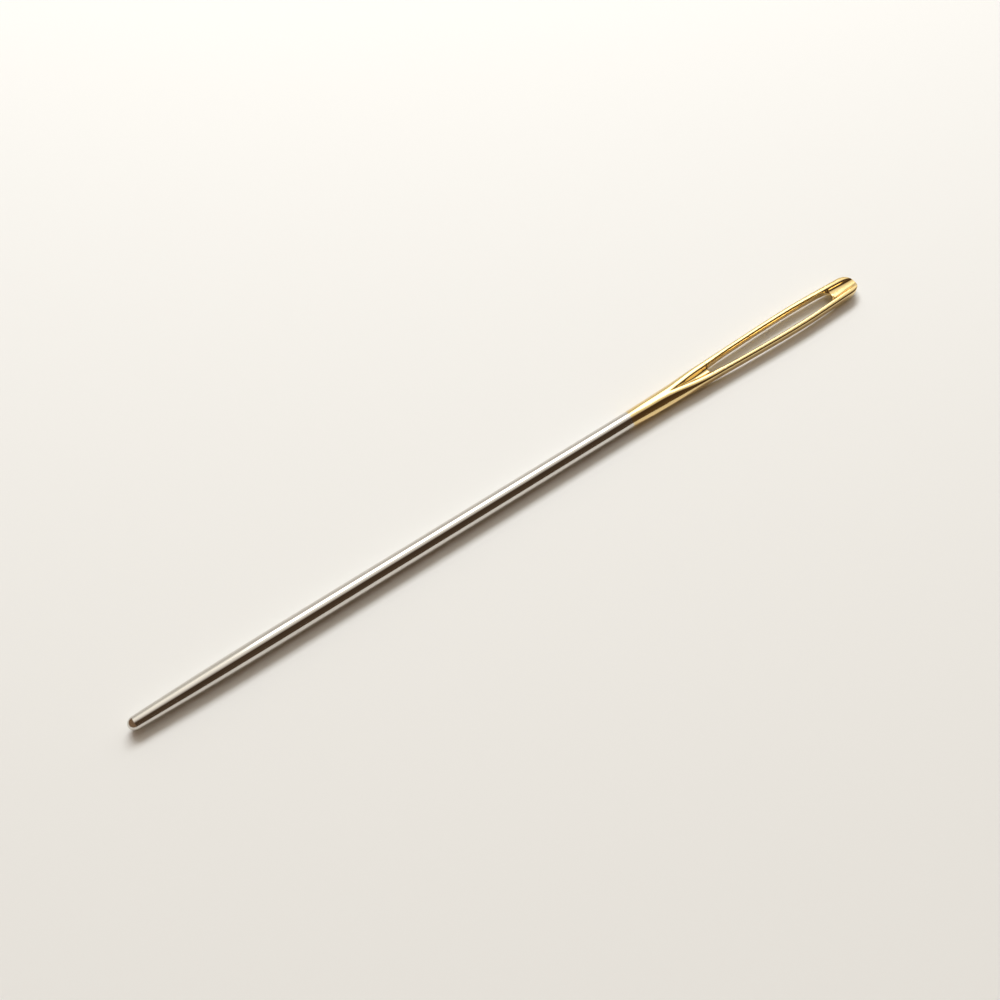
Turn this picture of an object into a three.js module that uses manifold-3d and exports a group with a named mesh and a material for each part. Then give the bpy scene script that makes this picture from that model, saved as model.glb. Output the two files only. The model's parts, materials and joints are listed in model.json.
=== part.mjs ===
// A blunt splicing needle, lying on a table with its eye facing up.
// It is one length of steel wire: a nickel-plated shank, tapered to a rounded point at -X, and a gold-plated
// head at +X, stamped flat with a gutter on both faces and punched through with a long eye.
// The two finishes meet at the plating line, where the model is divided, so the two solids meet face to face.
// Millimetres, +Z up. The origin is on the table, under the middle of the needle.

import * as THREE from 'three';
import { mergeVertices } from 'three/addons/utils/BufferGeometryUtils.js';
import Module from 'manifold-3d';

// Shank
const WIRE_DIAMETER = 1.25;
const SHANK_LENGTH = 28.1; // straight wire, from the end of the taper to the plating line
const TAPER_LENGTH = 9.5; // from full wire down to the nose
const TAPER_BULGE = 0.035; // how far the taper swells outside a straight cone
const NOSE_DIAMETER = 0.92;
const NOSE_LENGTH = 0.5;

// Head, from the plating line to the butt
const SHOULDER_LENGTH = 3.9; // pinched wire, from the plating line to the start of the gutters
const GUTTER_LENGTH = 3.5; // from the start of the gutters to the eye
const EYE_LENGTH = 12.1;
const BUTT_LENGTH = 2.4; // from the eye to the end of the needle
const NECK_WIDTH = 1.42; // across the pinched sides, which lean in above and below a narrow flat
const NECK_FLAT = 0.1; // height of that flat
const CHEEK_FLAT = 0.2; // height of the flat outer sides of the cheeks
const EYE_START_HEAD_WIDTH = 1.56; // across the head where the eye starts
const HEAD_WIDTH = 1.98; // across the head at its widest
const BUTT_WIDTH = 1.7;
const HEAD_THICKNESS = 0.78;
const END_LENGTH = 1.15; // of the domed end

// Eye and gutters
const EYE_WIDTH = 1.08; // near the butt, where it is widest
const EYE_START_WIDTH = 0.68; // just past its round start
const EYE_START_ROUND = 0.55; // length of its round start
const EYE_END_ROUND = 1; // length of its round end
const WEB_THICKNESS = 0.18; // what the gutters leave between them, along their middle
const GUTTER_START_WIDTH = 0.08; // floor widths of the gutter, here and below
const GUTTER_EYE_WIDTH = 0.5; // where the eye starts
const GUTTER_WIDTH = 1.08; // where the eye is widest
const GUTTER_BUTT_WIDTH = 0.6; // where it runs out through the butt
const GUTTER_DISH = 0.05; // how much lower the floor is in its middle than at its feet
const GUTTER_WALL_RUN = 0.45; // how far a gutter's wall leans out for each millimetre that it rises
const GUTTER_FILLET = 0.06;

// Fineness of the facets
const SIDES = 32;
const TAPER_STEPS = 6;
const NOSE_STEPS = 5;
const SHOULDER_STEPS = 7;
const NECK_STEPS = 7;
const CHEEK_STEPS = 15;
const END_STEPS = 7;
const GUTTER_STEPS = 30;
const EYE_STEPS = 22;
const DISH_STEPS = 3;
const FILLET_STEPS = 3;

// Places along X, worked out from the lengths above
const NEEDLE_LENGTH =
  NOSE_LENGTH + TAPER_LENGTH + SHANK_LENGTH + SHOULDER_LENGTH + GUTTER_LENGTH + EYE_LENGTH + BUTT_LENGTH;
const POINT_X = -NEEDLE_LENGTH / 2;
const NOSE_X = POINT_X + NOSE_LENGTH;
const TAPER_X = NOSE_X + TAPER_LENGTH;
const PLATING_X = TAPER_X + SHANK_LENGTH;
const NECK_X = PLATING_X + 0.6 * SHOULDER_LENGTH;
const GUTTER_X = PLATING_X + SHOULDER_LENGTH;
const EYE_START_X = GUTTER_X + GUTTER_LENGTH;
const BLADE_X = EYE_START_X + 0.05 * EYE_LENGTH;
const EYE_FIFTH_X = EYE_START_X + 0.2 * EYE_LENGTH;
const EYE_WIDEST_X = EYE_START_X + 0.68 * EYE_LENGTH;
const EYE_END_X = EYE_START_X + EYE_LENGTH;
const BUTT_X = EYE_END_X + BUTT_LENGTH;

const WIRE_RADIUS = WIRE_DIAMETER / 2;
// The wire rests on one of its long facets, so its axis stands a facet's distance above the table.
const FACET_SHARE = Math.cos(Math.PI / SIDES);
const AXIS_Z = WIRE_RADIUS * FACET_SHARE;

const steel = new THREE.MeshStandardMaterial({ color: 0xb9b2a8, metalness: 1, roughness: 0.22 });
const gold = new THREE.MeshStandardMaterial({ color: 0xe0b25a, metalness: 1, roughness: 0.16 });

const wasm = await Module();
wasm.setup();

// A manifold-3d solid from a closed three.js geometry.
function toSolid(geometry) {
  const bare = geometry.index ? geometry.toNonIndexed() : geometry.clone();
  bare.deleteAttribute('normal');
  bare.deleteAttribute('uv');
  const merged = mergeVertices(bare, 1e-5);
  return new wasm.Manifold(
    new wasm.Mesh({
      numProp: 3,
      vertProperties: merged.attributes.position.array,
      triVerts: new Uint32Array(merged.index.array),
    }),
  );
}

// The three.js geometry of a manifold-3d solid.
function toGeometry(solid) {
  const mesh = solid.getMesh();
  const geometry = new THREE.BufferGeometry();
  geometry.setAttribute('position', new THREE.BufferAttribute(mesh.vertProperties, 3));
  geometry.setIndex(new THREE.BufferAttribute(mesh.triVerts, 1));
  geometry.computeVertexNormals();
  return geometry;
}

// A closed solid through rings of [y, z] points, each at its own x. Rings run anticlockwise seen from +X.
// Its last ring closes on a point at endX.
function loft(rings, endX = rings[rings.length - 1].x) {
  const count = rings[0].points.length;
  const positions = [];
  const index = [];
  for (const ring of rings) {
    for (const [y, z] of ring.points) positions.push(ring.x, y, z);
  }
  for (let i = 0; i + 1 < rings.length; i++) {
    for (let k = 0; k < count; k++) {
      const next = (k + 1) % count;
      const a = i * count + k;
      const b = i * count + next;
      index.push(a, b, b + count, a, b + count, a + count);
    }
  }
  for (const [i, capX, outward] of [[0, rings[0].x, false], [rings.length - 1, endX, true]]) {
    const points = rings[i].points;
    const centre = positions.length / 3;
    const middleY = points.reduce((sum, p) => sum + p[0], 0) / count;
    const middleZ = points.reduce((sum, p) => sum + p[1], 0) / count;
    positions.push(capX, middleY, middleZ);
    for (let k = 0; k < count; k++) {
      const a = i * count + k;
      const b = i * count + ((k + 1) % count);
      if (outward) index.push(centre, a, b);
      else index.push(centre, b, a);
    }
  }
  const geometry = new THREE.BufferGeometry();
  geometry.setAttribute('position', new THREE.Float32BufferAttribute(positions, 3));
  geometry.setIndex(index);
  return geometry;
}

// A smooth rise from 0 to 1 as x goes from start to end.
function ease(x, start, end) {
  return THREE.MathUtils.smoothstep(x, start, end);
}

// A smooth line through [x, value] pairs, read at any x between the first and the last.
function through(pairs) {
  return (x) => {
    let k = 0;
    while (k < pairs.length - 2 && x > pairs[k + 1][0]) k++;
    const [x0, v0] = pairs[k];
    const [x1, v1] = pairs[k + 1];
    const slope = (i) => {
      const before = pairs[Math.max(i - 1, 0)];
      const after = pairs[Math.min(i + 1, pairs.length - 1)];
      return i === 0 || i === pairs.length - 1 ? 0 : (after[1] - before[1]) / (after[0] - before[0]);
    };
    const span = x1 - x0;
    const t = THREE.MathUtils.clamp((x - x0) / span, 0, 1);
    return (
      v0 * (2 * t ** 3 - 3 * t ** 2 + 1) +
      slope(k) * span * (t ** 3 - 2 * t ** 2 + t) +
      v1 * (3 * t ** 2 - 2 * t ** 3) +
      slope(k + 1) * span * (t ** 3 - t ** 2)
    );
  };
}

// Steps from start to end, with both ends among them.
function steps(start, end, count) {
  return Array.from({ length: count + 1 }, (_, i) => start + ((end - start) * i) / count);
}

// The nickel-plated shank: a blunt nose, a swelling taper and straight wire, turned about the axis.
function steelShank() {
  const noseRadius = NOSE_DIAMETER / 2;
  const profile = [];
  for (const turn of steps(0, Math.PI / 2, NOSE_STEPS)) {
    profile.push(new THREE.Vector2(noseRadius * Math.sin(turn), NOSE_X - NOSE_LENGTH * Math.cos(turn)));
  }
  for (const t of steps(0, 1, TAPER_STEPS).slice(1)) {
    const cone = THREE.MathUtils.lerp(noseRadius, WIRE_RADIUS, t);
    profile.push(new THREE.Vector2(cone + TAPER_BULGE * Math.sin(Math.PI * t), NOSE_X + TAPER_LENGTH * t));
  }
  profile.push(new THREE.Vector2(WIRE_RADIUS, PLATING_X));
  profile.push(new THREE.Vector2(0, PLATING_X));
  const geometry = new THREE.LatheGeometry(profile, SIDES, Math.PI / SIDES);
  // The lathe turns about Y. Its Y goes to X, and a facet faces straight down.
  geometry.rotateZ(-Math.PI / 2);
  return geometry;
}

// Half the head's width seen from above, before the round end.
const headHalfWidth = through([
  [PLATING_X, WIRE_RADIUS],
  [NECK_X, NECK_WIDTH / 2],
  [EYE_START_X, EYE_START_HEAD_WIDTH / 2],
  [EYE_WIDEST_X, HEAD_WIDTH / 2],
  [BUTT_X, BUTT_WIDTH / 2],
]);

// Half the height of the flat on each side, between the flanks above and below it.
const sideHalfHeight = through([
  [PLATING_X, 0],
  [NECK_X, NECK_FLAT / 2],
  [EYE_WIDEST_X, CHEEK_FLAT / 2],
  [BUTT_X, CHEEK_FLAT / 2],
]);

// Half the head's thickness, from round wire to the stamped blade, measured on its uppermost facet.
function headHalfThickness(x) {
  return THREE.MathUtils.lerp(AXIS_Z, HEAD_THICKNESS / 2, ease(x, NECK_X, BLADE_X));
}

// The powers of the curve over the section: 2 and 2 give an ellipse, and more gives squarer shoulders and a
// flatter top. The neck's 1 upwards gives it straight flanks, which lean in above and below the flat.
function capPowers(x) {
  const neck = ease(x, PLATING_X, NECK_X);
  return {
    across: 2 + 0.8 * neck + 2.2 * ease(x, NECK_X, EYE_START_X),
    up: 2 - neck + 3.4 * ease(x, GUTTER_X, BLADE_X),
  };
}

// A ring of the section: flat sides, capped above and below. Round wire's corners are those of the shank's.
function headRing(x, narrowing = 1, thinning = 1) {
  const halfWidth = headHalfWidth(x) * narrowing;
  const side = sideHalfHeight(x) * thinning;
  const cap = headHalfThickness(x) * thinning - side;
  const powers = capPowers(x);
  const points = [];
  for (let k = 0; k < SIDES; k++) {
    const turn = ((k + 0.5) * 2 * Math.PI) / SIDES;
    const across = Math.cos(turn);
    const up = Math.sin(turn);
    points.push([
      halfWidth * Math.sign(across) * Math.abs(across) ** (2 / powers.across),
      Math.sign(up) * (side + cap * (Math.abs(up) / FACET_SHARE) ** (2 / powers.up)),
    ]);
  }
  return { x, points };
}

// The head as stamped, before the gutters and the eye: shoulder, neck, cheeks and a domed end.
function headBlank() {
  const endStart = BUTT_X - END_LENGTH;
  const straight = [
    ...steps(PLATING_X, NECK_X, SHOULDER_STEPS),
    ...steps(NECK_X, BLADE_X, NECK_STEPS).slice(1),
    ...steps(BLADE_X, endStart, CHEEK_STEPS).slice(1),
  ];
  const rings = straight.map((x) => headRing(x));
  for (const turn of steps(0, 0.46 * Math.PI, END_STEPS).slice(1)) {
    rings.push(headRing(endStart + END_LENGTH * Math.sin(turn), Math.cos(turn), Math.cos(turn) ** 0.85));
  }
  return loft(rings, BUTT_X);
}

// Half the width of a gutter's floor.
const gutterHalfWidth = through([
  [GUTTER_X, GUTTER_START_WIDTH / 2],
  [EYE_START_X, GUTTER_EYE_WIDTH / 2],
  [EYE_FIFTH_X, THREE.MathUtils.lerp(GUTTER_EYE_WIDTH, GUTTER_WIDTH, 0.6) / 2],
  [EYE_WIDEST_X, GUTTER_WIDTH / 2],
  [EYE_END_X, THREE.MathUtils.lerp(GUTTER_WIDTH, GUTTER_BUTT_WIDTH, 0.6) / 2],
  [BUTT_X, GUTTER_BUTT_WIDTH / 2],
]);

// The height of the floor above the middle of the head: it dives in from the surface like the end of a spoon.
function gutterFloor(x) {
  const dive = ease(x, GUTTER_X - 0.1 * GUTTER_LENGTH, EYE_START_X - 0.2 * GUTTER_LENGTH);
  return THREE.MathUtils.lerp(headHalfThickness(x), WEB_THICKNESS / 2, dive);
}

// The space that one gutter takes: a dished trough with filleted feet and leaning walls. Side is 1 above and -1
// below.
function gutterCutter(side) {
  const reach = WIRE_DIAMETER;
  const lean = Math.atan(GUTTER_WALL_RUN);
  const rings = [];
  for (const x of steps(GUTTER_X, BUTT_X + END_LENGTH, GUTTER_STEPS)) {
    const floor = gutterFloor(x);
    const half = gutterHalfWidth(x);
    const fillet = Math.min(GUTTER_FILLET, half);
    const right = steps(0, 1, DISH_STEPS).map((t) => [(half - fillet) * t, floor + GUTTER_DISH * t * t]);
    for (const turn of steps(0, Math.PI / 2 - lean, FILLET_STEPS).slice(1)) {
      const rise = GUTTER_DISH + fillet * (1 - Math.cos(turn));
      right.push([half - fillet + fillet * Math.sin(turn), floor + rise]);
    }
    const [footY, footZ] = right[right.length - 1];
    right.push([footY + (reach - footZ) * GUTTER_WALL_RUN, reach]);
    const left = right.slice(1).map(([y, z]) => [-y, z]).reverse();
    const points = [...left, ...right].map(([y, z]) => [y, z * side]);
    rings.push({ x, points: side > 0 ? points : points.reverse() });
  }
  return loft(rings);
}

// Half the width of the eye: it widens slowly towards the butt, between two round ends.
function eyeHalfWidth(x) {
  const spread = Math.sin((Math.PI / 2) * Math.min((x - EYE_START_X) / (EYE_WIDEST_X - EYE_START_X), 1));
  const fromStart = Math.min((x - EYE_START_X) / EYE_START_ROUND, 1);
  const fromEnd = Math.min((EYE_END_X - x) / EYE_END_ROUND, 1);
  return (
    (THREE.MathUtils.lerp(EYE_START_WIDTH, EYE_WIDTH, spread) / 2) *
    Math.sqrt(fromStart * (2 - fromStart)) *
    Math.sqrt(fromEnd * (2 - fromEnd))
  );
}

// The punched eye, cut straight down through the web and between the cheeks.
function eyeCutter() {
  const near = [];
  for (const turn of steps(0, Math.PI, EYE_STEPS)) {
    const x = EYE_START_X + (EYE_LENGTH * (1 - Math.cos(turn))) / 2;
    near.push(new THREE.Vector2(x, -eyeHalfWidth(x)));
  }
  const far = near.slice(1, -1).map(({ x, y }) => new THREE.Vector2(x, -y));
  const depth = 2 * WIRE_DIAMETER;
  const geometry = new THREE.ExtrudeGeometry(new THREE.Shape([...near, ...far.reverse()]), {
    depth,
    steps: 1,
    bevelEnabled: false,
  });
  geometry.translate(0, 0, -depth / 2);
  return geometry;
}

// The gold-plated head: stamped blank, less both gutters, less the eye.
function goldHead() {
  return toGeometry(
    toSolid(headBlank())
      .subtract(toSolid(gutterCutter(1)))
      .subtract(toSolid(gutterCutter(-1)))
      .subtract(toSolid(eyeCutter())),
  );
}

const needle = new THREE.Group();

const shank = new THREE.Mesh(steelShank(), steel);
shank.name = 'nickel_plated_shank';
shank.position.z = AXIS_Z;
needle.add(shank);

const head = new THREE.Mesh(goldHead(), gold);
head.name = 'gold_plated_eye';
head.position.z = AXIS_Z;
needle.add(head);

export default needle;
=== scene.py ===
# The splicing needle dressed for the camera. A smooth nickel-plated shank and a smooth gold-plated head
# take the place of the two faceted solids, in the same sizes, on a plain pale table.
# Metres, +X from the point to the butt, +Y away from the camera's side, +Z up.
import json
import math

import bmesh
import bpy
import numpy as np
from mathutils import Matrix, Vector


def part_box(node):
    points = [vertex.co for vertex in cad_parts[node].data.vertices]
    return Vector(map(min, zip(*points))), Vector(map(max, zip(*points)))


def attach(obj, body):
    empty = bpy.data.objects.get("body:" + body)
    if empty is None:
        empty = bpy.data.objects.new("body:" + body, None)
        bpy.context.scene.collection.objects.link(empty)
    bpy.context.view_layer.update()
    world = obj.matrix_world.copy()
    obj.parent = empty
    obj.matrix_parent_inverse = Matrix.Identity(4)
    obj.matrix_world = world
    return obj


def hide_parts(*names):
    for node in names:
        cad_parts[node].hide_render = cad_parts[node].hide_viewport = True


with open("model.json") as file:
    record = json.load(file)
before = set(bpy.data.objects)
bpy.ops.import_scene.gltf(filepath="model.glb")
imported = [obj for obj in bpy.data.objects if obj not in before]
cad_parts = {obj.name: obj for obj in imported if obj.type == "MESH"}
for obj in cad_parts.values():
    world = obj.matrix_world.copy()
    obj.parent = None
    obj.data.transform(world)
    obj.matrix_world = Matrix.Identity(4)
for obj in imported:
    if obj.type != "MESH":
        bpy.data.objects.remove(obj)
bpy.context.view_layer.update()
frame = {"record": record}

MM = 0.001

# Shank, where the frame's boxes don't give a size
TAPER_LENGTH = 9.5 * MM  # from full wire down to the nose
TAPER_BULGE = 0.035 * MM  # how far the taper swells outside a straight cone
NOSE_DIAMETER = 0.92 * MM
NOSE_LENGTH = 0.5 * MM

# Head, from the plating line to the butt
SHOULDER_LENGTH = 3.9 * MM  # pinched wire, from the plating line to the start of the gutters
GUTTER_LENGTH = 3.5 * MM  # from the start of the gutters to the eye
EYE_LENGTH = 12.1 * MM
NECK_WIDTH = 1.42 * MM  # across the pinched sides, which lean in above and below a narrow flat
NECK_FLAT = 0.1 * MM  # height of that flat
CHEEK_FLAT = 0.2 * MM  # height of the flat outer sides of the cheeks
EYE_START_HEAD_WIDTH = 1.56 * MM  # across the head where the eye starts
BUTT_WIDTH = 1.7 * MM
HEAD_THICKNESS = 0.78 * MM
END_LENGTH = 1.15 * MM  # of the domed end
END_THINNING = 0.85  # the power of the end's narrowing that thins it

# Eye and gutters
EYE_WIDTH = 1.08 * MM  # near the butt, where it is widest
EYE_START_WIDTH = 0.68 * MM  # just past its round start
EYE_START_ROUND = 0.55 * MM  # length of its round start
EYE_END_ROUND = 1.0 * MM  # length of its round end
EYE_EDGE = 0.04 * MM  # radius of its polished edge
WEB_THICKNESS = 0.18 * MM  # what the gutters leave between them, along their middle
GUTTER_START_WIDTH = 0.08 * MM  # floor widths of the gutter, here and below
GUTTER_EYE_WIDTH = 0.5 * MM  # where the eye starts
GUTTER_WIDTH = 1.08 * MM  # where the eye is widest
GUTTER_BUTT_WIDTH = 0.6 * MM  # where it runs out through the butt
GUTTER_WALL_RUN = 0.45  # how far a gutter's wall leans out for each millimetre that it rises
GUTTER_DISH = 0.05 * MM  # how much lower the floor is in its middle than at its feet
GUTTER_FOOT = 0.05 * MM  # softness of the foot of a gutter's wall
GUTTER_FADE = 0.3 * MM  # how far before and past its start a gutter comes in
RIDGE_SOFTNESS = 0.12 * MM  # how far the polishing wears the ridges beside the gutters

# Powers of the curve round a section, sideways and upwards: round wire has 2 and 2. The neck's sides lean in
# straight under a rounded top, and the blade is squarer.
ROUND_POWER = 2
NECK_ACROSS_POWER = 2.8
NECK_UP_POWER = 1
BLADE_ACROSS_POWER = 5
BLADE_UP_POWER = 4.4

# Finishes: a roughness is given at the low and the high spots of its grain
NICKEL_ROUGHNESS = (0.06, 0.12)
NOSE_ROUGHNESS = 0.07  # what use adds at the point
NOSE_RUBBED = 7 * MM  # how far from the point that reaches
GOLD_ROUGHNESS = (0.06, 0.13)
GILDING_EDGE = 0.16 * MM  # depth of the gilding's soft edge
GILDING_STRAY = 0.07 * MM  # how far that edge strays either way
CLOUD_SHADES = (0.88, 0.97)  # brightness of the record's colours, here and below
LINE_SHADE = 1.04
TABLE_COLOUR = (0.84, 0.84, 0.81, 1)
TABLE_ROUGHNESS = 0.8
TABLE_REACH = 1.5

# The two soft lights, whose leans and turn are degrees from overhead to the far side and to the butt
LAMP_WATTS = 0.8
LAMP_WIDTH = 85 * MM
LAMP_LEAN = 39
PANEL_WATTS = 0.26
PANEL_WIDTH = 160 * MM
PANEL_LEAN = 35
LIGHT_LENGTH = 235 * MM
LIGHT_DISTANCE = 300 * MM
LIGHT_TURN = 19
LIGHT_COLOUR = (0.93, 0.96, 1)

# The room by degrees from overhead, from the near side's horizon to the far side's
ROOM_COLOURS = [
    (-90, (0.09, 0.06, 0.04)),
    (-60, (0.05, 0.033, 0.02)),
    (-21, (0.05, 0.03, 0.018)),
    (-6, (0.5, 0.46, 0.41)),
    (10, (0.78, 0.75, 0.69)),
    (28, (0.92, 0.88, 0.8)),
    (42, (0.92, 0.88, 0.8)),
    (56, (0.52, 0.5, 0.46)),
    (90, (0.48, 0.46, 0.42)),
]
ROOM_STRENGTH = 1.4
END_WALL_COLOUR = (0.16, 0.1, 0.06, 1)  # beyond the needle's point
END_WALL_X = -0.2  # the X below which a direction meets that wall
BACKDROP_COLOUR = (0.6, 0.6, 0.58, 1)  # what the camera sees past the table

# The camera, with its turn from +Y and its rise from the table in degrees
CAMERA_AIM = Vector((-2.64, 0.24, 0)) * MM
CAMERA_TURN = -35.33
CAMERA_RISE = 60
CAMERA_DISTANCE = 73.62 * MM
CAMERA_LENS = 39.276

# Fineness of the meshes
SHANK_SIDES = 128
NOSE_STEPS = 24
TAPER_STEPS = 60
WIRE_STEPS = 39
SECTION_POINTS = 96
WALL_POINTS = 6
PROFILE_SAMPLES = 3000
EVEN_SAMPLES = 800
TURNING_WEIGHT = 3  # the turning, in radians, that takes as many points as a line's whole length
DECIMALS = 9  # of a place along X, beyond which two places are one
SAME_PLACE = 10**-DECIMALS
WELD = 2e-7  # points closer than this become one
SLIVER = 1e-8  # edges shorter than this are taken out
SHARP_ANGLE = 50  # degrees at which two faces meet in a crisp edge

# Sizes and colours from the frame, and places along X
PLATING_COLOURS = {finish["slot"]: finish["base_color"] for finish in frame["record"]["materials"]}
shank_low, shank_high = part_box("nickel_plated_shank")
head_low, head_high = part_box("gold_plated_eye")
WIRE_RADIUS = (shank_high.z - shank_low.z) / 2
AXIS_Z = shank_low.z + WIRE_RADIUS
HEAD_WIDTH = head_high.y - head_low.y
POINT_X = shank_low.x
NOSE_X = POINT_X + NOSE_LENGTH
TAPER_X = NOSE_X + TAPER_LENGTH
PLATING_X = head_low.x
NECK_X = PLATING_X + 0.6 * SHOULDER_LENGTH
GUTTER_X = PLATING_X + SHOULDER_LENGTH
EYE_START_X = GUTTER_X + GUTTER_LENGTH
BLADE_X = EYE_START_X + 0.05 * EYE_LENGTH
EYE_FIFTH_X = EYE_START_X + 0.2 * EYE_LENGTH
EYE_WIDEST_X = EYE_START_X + 0.68 * EYE_LENGTH
EYE_END_X = EYE_START_X + EYE_LENGTH
BUTT_X = head_high.x
END_START_X = BUTT_X - END_LENGTH


def lerp(a, b, t):
    """The value a share t of the way from a to b."""
    return a + (b - a) * t


def ease(x, start, end):
    """A smooth rise from 0 to 1 as x goes from start to end."""
    t = np.clip((x - start) / (end - start), 0, 1)
    return t * t * (3 - 2 * t)


def through(pairs):
    """A smooth line through (x, value) pairs, level at both ends."""

    def slope(i):
        if i in (0, len(pairs) - 1):
            return 0
        return (pairs[i + 1][1] - pairs[i - 1][1]) / (pairs[i + 1][0] - pairs[i - 1][0])

    def value(x):
        k = 0
        while k < len(pairs) - 2 and x > pairs[k + 1][0]:
            k += 1
        (x0, v0), (x1, v1) = pairs[k], pairs[k + 1]
        span = x1 - x0
        t = min(max((x - x0) / span, 0), 1)
        return (
            v0 * (2 * t**3 - 3 * t**2 + 1)
            + slope(k) * span * (t**3 - 2 * t**2 + t)
            + v1 * (3 * t**2 - 2 * t**3)
            + slope(k + 1) * span * (t**3 - t**2)
        )

    return value


head_half_width = through(
    [
        (PLATING_X, WIRE_RADIUS),
        (NECK_X, NECK_WIDTH / 2),
        (EYE_START_X, EYE_START_HEAD_WIDTH / 2),
        (EYE_WIDEST_X, HEAD_WIDTH / 2),
        (BUTT_X, BUTT_WIDTH / 2),
    ]
)
side_half_height = through(
    [
        (PLATING_X, 0),
        (NECK_X, NECK_FLAT / 2),
        (EYE_WIDEST_X, CHEEK_FLAT / 2),
        (BUTT_X, CHEEK_FLAT / 2),
    ]
)
gutter_half_width = through(
    [
        (GUTTER_X, GUTTER_START_WIDTH / 2),
        (EYE_START_X, GUTTER_EYE_WIDTH / 2),
        (EYE_FIFTH_X, lerp(GUTTER_EYE_WIDTH, GUTTER_WIDTH, 0.6) / 2),
        (EYE_WIDEST_X, GUTTER_WIDTH / 2),
        (EYE_END_X, lerp(GUTTER_WIDTH, GUTTER_BUTT_WIDTH, 0.6) / 2),
        (BUTT_X, GUTTER_BUTT_WIDTH / 2),
    ]
)


def head_half_thickness(x):
    """Half the height of the head at x, from full wire to the blade."""
    return lerp(WIRE_RADIUS, HEAD_THICKNESS / 2, ease(x, NECK_X, BLADE_X))


def gutter_floor(x):
    """The height above the axis of the floor's middle, which dives from the surface down to the web."""
    dive = ease(x, GUTTER_X - 0.1 * GUTTER_LENGTH, EYE_START_X - 0.2 * GUTTER_LENGTH)
    return lerp(head_half_thickness(x), WEB_THICKNESS / 2, dive)


def eye_half_width(x):
    """Half the width of the eye at x, and 0 outside it."""
    widening = np.sin(math.pi / 2 * np.clip((x - EYE_START_X) / (EYE_WIDEST_X - EYE_START_X), 0, 1))
    from_start = np.clip((x - EYE_START_X) / EYE_START_ROUND, 0, 1)
    from_end = np.clip((EYE_END_X - x) / EYE_END_ROUND, 0, 1)
    ends = np.sqrt(from_start * (2 - from_start) * from_end * (2 - from_end))
    return lerp(EYE_START_WIDTH, EYE_WIDTH, widening) / 2 * ends


def end_stations(start, length, count):
    """Places that crowd towards start, as the cosine of even turns does."""
    turns = np.linspace(0, math.pi / 2, count + 1)
    return start + length * (1 - np.cos(turns))


# Half of the eye's outline, as (x, y) points
outline_x = np.concatenate(
    [
        end_stations(EYE_START_X, EYE_START_ROUND, 60),
        np.linspace(EYE_START_X + EYE_START_ROUND, EYE_END_X - EYE_END_ROUND, 400),
        end_stations(EYE_END_X, -EYE_END_ROUND, 60)[::-1],
    ]
)
outline = np.stack([outline_x, eye_half_width(outline_x)], 1)


def section_curve(x, half_width, side, cap):
    """The y and z of close points round a quarter of the section at x, before its gutter and its eye.

    The curve starts at the top of the flat side, half_width out and side up, and rises by cap to the middle.
    """
    neck_across = lerp(ROUND_POWER, NECK_ACROSS_POWER, ease(x, PLATING_X, NECK_X))
    across_power = lerp(neck_across, BLADE_ACROSS_POWER, ease(x, NECK_X, EYE_START_X))
    neck_up = lerp(ROUND_POWER, NECK_UP_POWER, ease(x, PLATING_X, NECK_X))
    up_power = lerp(neck_up, BLADE_UP_POWER, ease(x, GUTTER_X, BLADE_X))
    angle = np.linspace(0, math.pi / 2, PROFILE_SAMPLES)
    out, up = np.abs(np.cos(angle)) ** across_power, np.sin(angle) ** across_power
    y = half_width * (out / (out + up)) ** (1 / across_power)
    y[-1] = 0
    z = side + cap * (up / (out + up)) ** (1 / up_power)
    return y, z


def gutter_height(x, y):
    """The height of the gutter's dished floor and leaning wall at y."""
    foot = gutter_half_width(x)
    past = y - foot
    floor = gutter_floor(x) + GUTTER_DISH * np.minimum(y / foot, 1) ** 2
    return floor + (past + np.sqrt(past**2 + GUTTER_FOOT**2)) / (2 * GUTTER_WALL_RUN)


def lower(first, second, softness):
    """The lower of two heights, with their crossing rounded over."""
    return (first + second - np.sqrt((first - second) ** 2 + softness**2)) / 2


def edge_drop(x, y):
    """How far the eye's round edge lies below a crisp one at y."""
    away = np.hypot(outline[None, :, 0] - x, outline[None, :, 1] - y[:, None]).min(1)
    away = np.minimum(away, EYE_EDGE)
    return EYE_EDGE - np.sqrt(EYE_EDGE**2 - (EYE_EDGE - away) ** 2)


def quarter_profile(x):
    """An upper quarter of the section at x: close (y, z) points from its side to its middle or the eye."""
    turn = math.asin(min(max((x - END_START_X) / END_LENGTH, 0), 1))
    narrowing = math.cos(turn)
    thinning = narrowing**END_THINNING
    half_width = head_half_width(x) * narrowing
    side = side_half_height(x) * thinning
    y, z = section_curve(x, half_width, side, head_half_thickness(x) * thinning - side)
    gutter = ease(x, GUTTER_X - GUTTER_FADE, GUTTER_X + GUTTER_FADE)
    if gutter > 0:
        z = lerp(z, lower(z, gutter_height(x, y), RIDGE_SOFTNESS * thinning), gutter)
    inner = eye_half_width(x)
    if inner > 0:
        keep = y > inner
        y = np.append(y[keep], inner)
        z = np.append(z[keep], z[keep][-1])
    if EYE_START_X - EYE_EDGE < x < EYE_END_X + EYE_EDGE:
        z = z - edge_drop(x, y)
    return np.stack([np.append(half_width, y), np.append(0, z)], 1)


def travelled(steps):
    """How far along its line each point is, from the steps between the points."""
    return np.concatenate([[0], np.cumsum(steps)])


def along_line(points, far, count):
    """Points on the same line, at even steps of far, a measure that rises along it."""
    even = np.linspace(0, far[-1], count)
    return np.stack([np.interp(even, far, points[:, 0]), np.interp(even, far, points[:, 1])], 1)


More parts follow.
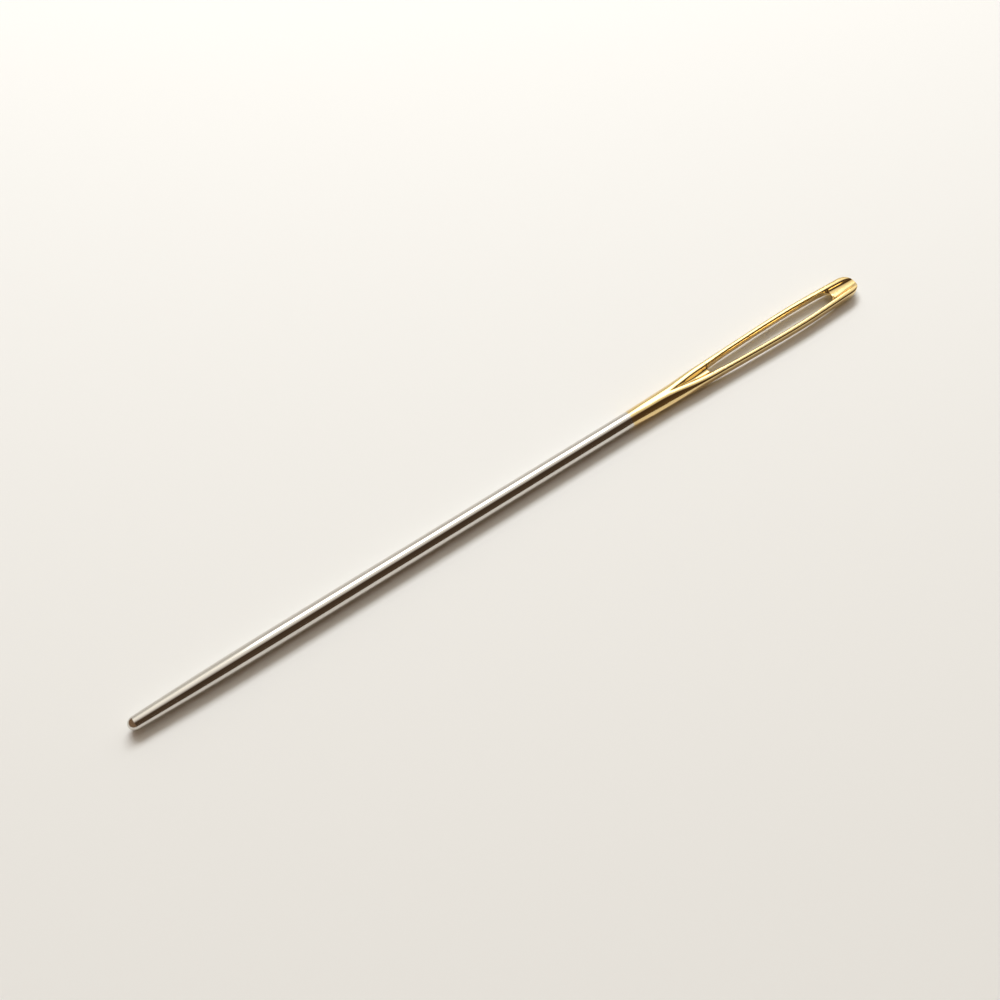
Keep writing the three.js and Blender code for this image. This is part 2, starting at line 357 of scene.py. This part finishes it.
def respaced(points, count):
    """Points along the same line, spaced by its length and by how much it turns."""
    points = along_line(points, travelled(np.hypot(*np.diff(points, axis=0).T)), EVEN_SAMPLES)
    step = np.diff(points, axis=0)
    heading = np.unwrap(np.arctan2(step[:, 1], step[:, 0]))
    turning = np.abs(np.diff(heading, prepend=heading[0]))
    return along_line(points, travelled(1 / EVEN_SAMPLES + turning / TURNING_WEIGHT), count)


def head_stations():
    """Where the head's sections are, crowded where its shape turns fastest."""
    near_gutter = GUTTER_X - 0.4 * MM
    edge = EYE_EDGE * (1 - np.sin(np.linspace(0, math.pi / 2, 7)[1:]))
    stretches = [
        np.linspace(PLATING_X, near_gutter, 30),
        np.linspace(near_gutter, EYE_START_X - EYE_EDGE, 60),
        EYE_START_X - edge,
        end_stations(EYE_START_X, EYE_START_ROUND, 16),
        np.linspace(EYE_START_X + EYE_START_ROUND, EYE_END_X - EYE_END_ROUND, 70),
        end_stations(EYE_END_X, -EYE_END_ROUND, 20),
        EYE_END_X + edge,
        np.linspace(EYE_END_X + EYE_EDGE, END_START_X, 10),
        END_START_X + END_LENGTH * np.sin(np.linspace(0, math.pi / 2, 25)),
    ]
    return np.unique(np.round(np.concatenate(stretches), DECIMALS))


def new_object(name, bm, material, node):
    """A smooth piece in place of a node, riding on the part's one body."""
    mesh = bpy.data.meshes.new(name)
    bm.to_mesh(mesh)
    bm.free()
    mesh.polygons.foreach_set("use_smooth", [True] * len(mesh.polygons))
    mesh.set_sharp_from_angle(angle=math.radians(SHARP_ANGLE))
    mesh.materials.append(material)
    piece = bpy.data.objects.new(name, mesh)
    bpy.context.scene.collection.objects.link(piece)
    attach(piece, "root")
    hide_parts(node)
    return piece


def head_grid():
    """An upper quarter of the head and of the eye's wall, as rows of (x, y, z) points about the axis."""
    grid = []
    for x in head_stations():
        section = respaced(quarter_profile(x), SECTION_POINTS)
        if EYE_START_X - SAME_PLACE <= x <= EYE_END_X + SAME_PLACE:
            y, z = section[-1]
            wall = [(y, z * (1 - k / WALL_POINTS)) for k in range(1, WALL_POINTS + 1)]
            section = np.concatenate([section, wall])
        grid.append([(x, y, z) for y, z in section])
    return grid


def quarter_faces(bm, grid, mirror_y, mirror_z):
    """One quarter of the head, mirrored as asked. Only the rows along the eye have its wall's points."""
    rows = [[bm.verts.new((x, y * mirror_y, AXIS_Z + z * mirror_z)) for x, y, z in row] for row in grid]
    for a, b in zip(rows, rows[1:]):
        shared = min(len(a), len(b))
        for k in range(shared - 1):
            face = [a[k], b[k], b[k + 1], a[k + 1]]
            bm.faces.new(face if mirror_y * mirror_z > 0 else face[::-1])


def gold_head(material):
    """The stamped head: four quarters welded together, and closed by one face at the plating line."""
    grid = head_grid()
    bm = bmesh.new()
    for mirror_y in (1, -1):
        for mirror_z in (1, -1):
            quarter_faces(bm, grid, mirror_y, mirror_z)
    bmesh.ops.remove_doubles(bm, verts=bm.verts, dist=WELD)
    bmesh.ops.dissolve_degenerate(bm, edges=bm.edges, dist=SLIVER)
    rim = [edge for edge in bm.edges if edge.is_boundary]
    bmesh.ops.contextual_create(bm, geom=rim)
    bmesh.ops.recalc_face_normals(bm, faces=bm.faces)
    return new_object("smooth_gold_head", bm, material, "gold_plated_eye")


def shank_profile():
    """(x, radius) from just behind the nose's tip to the plating line."""
    nose = NOSE_DIAMETER / 2
    points = []
    for turn in np.linspace(0, math.pi / 2, NOSE_STEPS + 1)[1:]:
        points.append((NOSE_X - NOSE_LENGTH * math.cos(turn), nose * math.sin(turn)))
    for t in np.linspace(0, 1, TAPER_STEPS + 1)[1:]:
        radius = lerp(nose, WIRE_RADIUS, t) + TAPER_BULGE * math.sin(math.pi * t)
        points.append((NOSE_X + TAPER_LENGTH * t, radius))
    for x in np.linspace(TAPER_X, PLATING_X, WIRE_STEPS + 1)[1:]:
        points.append((x, WIRE_RADIUS))
    return points


def nickel_shank(material):
    """The shank, turned about its axis and closed by one face at the plating line."""
    bm = bmesh.new()
    angles = [2 * math.pi * (k + 0.5) / SHANK_SIDES for k in range(SHANK_SIDES)]
    rows = []
    for x, r in shank_profile():
        rows.append([bm.verts.new((x, r * math.cos(a), AXIS_Z + r * math.sin(a))) for a in angles])
    tip = bm.verts.new((POINT_X, 0, AXIS_Z))
    for k in range(SHANK_SIDES):
        after = (k + 1) % SHANK_SIDES
        bm.faces.new([tip, rows[0][after], rows[0][k]])
        for a, b in zip(rows, rows[1:]):
            bm.faces.new([a[k], a[after], b[after], b[k]])
    bm.faces.new(rows[-1])
    bmesh.ops.recalc_face_normals(bm, faces=bm.faces)
    return new_object("smooth_nickel_shank", bm, material, "nickel_plated_shank")


def new_material(name):
    """A material with its tree and its shader."""
    material = bpy.data.materials.new(name)
    material.use_nodes = True
    return material, material.node_tree, material.node_tree.nodes["Principled BSDF"]


def set_inputs(tree, node, inputs):
    """Sets a node's inputs by name or number, each to a number, a colour or another node's socket."""
    for name, value in inputs.items():
        if isinstance(value, bpy.types.NodeSocket):
            tree.links.new(value, node.inputs[name])
        else:
            node.inputs[name].default_value = value


def add(tree, kind, inputs, **settings):
    """A new shader node with these inputs and settings."""
    node = tree.nodes.new("ShaderNode" + kind)
    for name, value in settings.items():
        setattr(node, name, value)
    set_inputs(tree, node, inputs)
    return node


def maths(tree, operation, *numbers):
    """The result of an operation on numbers or sockets."""
    return add(tree, "Math", dict(enumerate(numbers)), operation=operation).outputs[0]


def spread(tree, value, low, high, start=0.3, end=0.7):
    """A value from start to end, spread from low to high. Most of a grain lies between 0.3 and 0.7."""
    ranges = {"Value": value, "From Min": start, "From Max": end, "To Min": low, "To Max": high}
    return add(tree, "MapRange", ranges).outputs["Result"]


def blend(tree, share, first, second):
    """The first colour with this share of the second."""
    mix = add(tree, "Mix", {"Factor": share, "A": first, "B": second}, data_type="RGBA")
    return mix.outputs["Result"]


def grain(tree, length, width, shift):
    """Noise between 0 and 1, with spots of this length along the needle and this width across it."""
    place = add(tree, "TexCoord", {}).outputs["Object"]
    scale = (1 / length, 1 / width, 1 / width)
    spots = add(tree, "Mapping", {"Vector": place, "Scale": scale, "Location": [shift] * 3}).outputs[0]
    return add(tree, "TexNoise", {"Vector": spots, "Scale": 1, "Detail": 2}).outputs["Fac"]


def bump(tree, height, depth, below=None):
    """A relief of this depth, on the relief below where there is one."""
    inputs = {"Height": height, "Strength": 1, "Distance": depth}
    if below:
        inputs["Normal"] = below
    return add(tree, "Bump", inputs).outputs[0]


def along_needle(tree):
    """X at each point of the surface."""
    place = add(tree, "TexCoord", {}).outputs["Object"]
    return add(tree, "SeparateXYZ", {"Vector": place}).outputs["X"]


def shade_of(colour, brightness):
    """The colour, darker or brighter, as four channels."""
    return (*[channel * brightness for channel in colour], 1)


def plated_tone(tree, slot):
    """The record's colour for a slot, clouded and faintly streaked lengthwise."""
    dark, pale, bright = [shade_of(PLATING_COLOURS[slot], shade) for shade in (*CLOUD_SHADES, LINE_SHADE)]
    clouds = spread(tree, grain(tree, 2.5 * MM, 0.6 * MM, shift=3), 0, 1)
    lines = spread(tree, grain(tree, 6 * MM, 0.07 * MM, shift=11), 0, 0.5, start=0.45, end=0.75)
    return blend(tree, lines, blend(tree, clouds, dark, pale), bright)


def nickel_plate():
    """Drawn wire, polished and plated: faint lengthwise lines, and a nose that use has rubbed."""
    material, tree, shader = new_material("nickel_plate")
    lines = grain(tree, 7 * MM, 0.08 * MM, shift=5)
    rubbed = spread(tree, along_needle(tree), NOSE_ROUGHNESS, 0, POINT_X, POINT_X + NOSE_RUBBED)
    waves = grain(tree, 9 * MM, 0.5 * MM, shift=8)
    finish = {
        "Metallic": 1,
        "Base Color": plated_tone(tree, "nickel_plate"),
        "Roughness": maths(tree, "ADD", spread(tree, lines, *NICKEL_ROUGHNESS), rubbed),
        "Normal": bump(tree, waves, 0.004 * MM, below=bump(tree, lines, 0.0006 * MM)),
    }
    set_inputs(tree, shader, finish)
    return material


def gold_plate():
    """Stamped, polished and gilded: a skin that is never quite even, and a soft edge to the bare nickel."""
    material, tree, shader = new_material("gold_plate")
    stray = spread(tree, grain(tree, 0.4 * MM, 0.4 * MM, shift=2), -GILDING_STRAY, GILDING_STRAY)
    edge = maths(tree, "ADD", along_needle(tree), stray)
    gilded = spread(tree, edge, 0, 1, PLATING_X, PLATING_X + GILDING_EDGE)
    nickel, gold = plated_tone(tree, "nickel_plate"), plated_tone(tree, "gold_plate")
    skin = grain(tree, 0.35 * MM, 0.2 * MM, shift=7)
    polish = grain(tree, 3 * MM, 0.1 * MM, shift=9)
    finish = {
        "Metallic": 1,
        "Base Color": blend(tree, gilded, nickel, gold),
        "Roughness": spread(tree, skin, *GOLD_ROUGHNESS),
        "Normal": bump(tree, polish, 0.0006 * MM, below=bump(tree, skin, 0.0012 * MM)),
    }
    set_inputs(tree, shader, finish)
    return material


def pale_table():
    """A plain painted table top."""
    bm = bmesh.new()
    bmesh.ops.create_grid(bm, x_segments=1, y_segments=1, size=TABLE_REACH)
    mesh = bpy.data.meshes.new("table")
    bm.to_mesh(mesh)
    bm.free()
    material, tree, shader = new_material("table_paint")
    set_inputs(tree, shader, {"Base Color": TABLE_COLOUR, "Roughness": TABLE_ROUGHNESS})
    mesh.materials.append(material)
    table = bpy.data.objects.new("table", mesh)
    bpy.context.scene.collection.objects.link(table)


def overhead_colour(tree, direction):
    """The room's colour by how far a direction leans from overhead."""
    angle = maths(tree, "ARCTAN2", direction["Y"], direction["Z"])
    share = spread(tree, angle, 0, 1, math.radians(-90), math.radians(90))
    ramp = add(tree, "ValToRGB", {"Fac": share})
    elements = ramp.color_ramp.elements
    while len(elements) < len(ROOM_COLOURS):
        elements.new(0.5)
    for element, (degrees, colour) in zip(elements, ROOM_COLOURS):
        element.position = (degrees + 90) / 180
        element.color = (*colour, 1)
    return ramp.outputs["Color"]


def room():
    """A pale room, dark on the near side and brown beyond the point. The camera sees a plain backdrop."""
    world = bpy.data.worlds.new("studio")
    world.use_nodes = True
    tree = world.node_tree
    generated = add(tree, "TexCoord", {}).outputs["Generated"]
    direction = add(tree, "SeparateXYZ", {"Vector": generated}).outputs
    inside = maths(tree, "GREATER_THAN", direction["X"], END_WALL_X)
    walls = blend(tree, inside, END_WALL_COLOUR, overhead_colour(tree, direction))
    seen_directly = add(tree, "LightPath", {}).outputs["Is Camera Ray"]
    colour = blend(tree, seen_directly, walls, BACKDROP_COLOUR)
    set_inputs(tree, tree.nodes["Background"], {"Color": colour, "Strength": ROOM_STRENGTH})
    bpy.context.scene.world = world


def soft_light(name, watts, width, lean):
    """A rectangular light with its long side along X, leaning to the far side and a little to the butt."""
    light = bpy.data.lights.new(name, "AREA")
    light.shape = "RECTANGLE"
    light.size, light.size_y = LIGHT_LENGTH, width
    light.energy = watts
    light.color = LIGHT_COLOUR
    across, along = math.radians(lean), math.radians(LIGHT_TURN)
    way = Vector((math.sin(along), math.cos(along) * math.sin(across), math.cos(along) * math.cos(across)))
    side = (Vector((1, 0, 0)) - way * way.x).normalized()
    holder = bpy.data.objects.new(name, light)
    holder.location = way * LIGHT_DISTANCE
    holder.rotation_euler = Matrix((side, way.cross(side), way)).transposed().to_euler()
    bpy.context.scene.collection.objects.link(holder)
    return holder


def studio():
    """The room, a lamp that the metal doesn't show, and a wider, dimmer panel that only the metal shows."""
    room()
    soft_light("lamp", LAMP_WATTS, LAMP_WIDTH, LAMP_LEAN).visible_glossy = False
    soft_light("panel", PANEL_WATTS, PANEL_WIDTH, PANEL_LEAN).visible_diffuse = False
    bpy.context.scene.view_settings.view_transform = "Standard"


def camera():
    """The photograph's point of view."""
    turn, rise = math.radians(CAMERA_TURN), math.radians(CAMERA_RISE)
    level = Vector((math.sin(turn), -math.cos(turn), 0))
    way = level * math.cos(rise) + Vector((0, 0, math.sin(rise)))
    data = bpy.data.cameras.new("camera")
    data.lens = CAMERA_LENS
    data.clip_start = 1 * MM
    holder = bpy.data.objects.new("camera", data)
    holder.location = CAMERA_AIM + way * CAMERA_DISTANCE
    holder.rotation_euler = (-way).to_track_quat("-Z", "Y").to_euler()
    bpy.context.scene.collection.objects.link(holder)
    bpy.context.scene.camera = holder


nickel_shank(nickel_plate())
gold_head(gold_plate())
pale_table()
studio()
camera()
